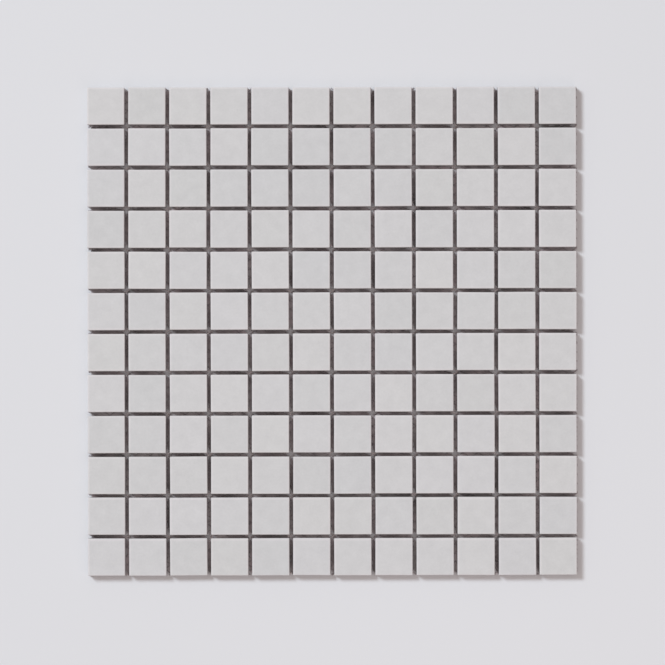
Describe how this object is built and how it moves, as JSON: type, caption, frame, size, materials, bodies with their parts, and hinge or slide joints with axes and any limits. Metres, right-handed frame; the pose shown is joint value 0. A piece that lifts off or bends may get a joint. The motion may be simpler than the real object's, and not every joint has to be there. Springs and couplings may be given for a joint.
{
  "type": "mosaic tile sheet",
  "caption": "Square sheet of small square matt ceramic mosaic tiles, held in a grid with open joints by a net stuck to their backs.",
  "frame": {"origin": "centre of the sheet in plan, on the underside of the net that it lies on", "axes": "+Z out of the tiles' faces, +X along a row to the right, +Y across the rows to the far row"},
  "size_m": [0.3008, 0.3002, 0.0064],
  "materials": {
    "tile": "matt",
    "net": "matt, stiffened"
  },
  "bodies": {
    "root": {"tile_row_01": "tile", "tile_row_02": "tile", "tile_row_03": "tile", "tile_row_04": "tile", "tile_row_05": "tile", "tile_row_06": "tile", "tile_row_07": "tile", "tile_row_08": "tile", "tile_row_09": "tile", "tile_row_10": "tile", "tile_row_11": "tile", "tile_row_12": "tile", "net_strip_01": "net", "net_strip_02": "net", "net_strip_03": "net", "net_strip_04": "net", "net_strip_05": "net", "net_strip_06": "net", "net_strip_07": "net", "net_strip_08": "net", "net_strip_09": "net", "net_strip_10": "net", "net_strip_11": "net", "net_strip_12": "net", "net_strip_13": "net"}
  },
  "joints": []
}
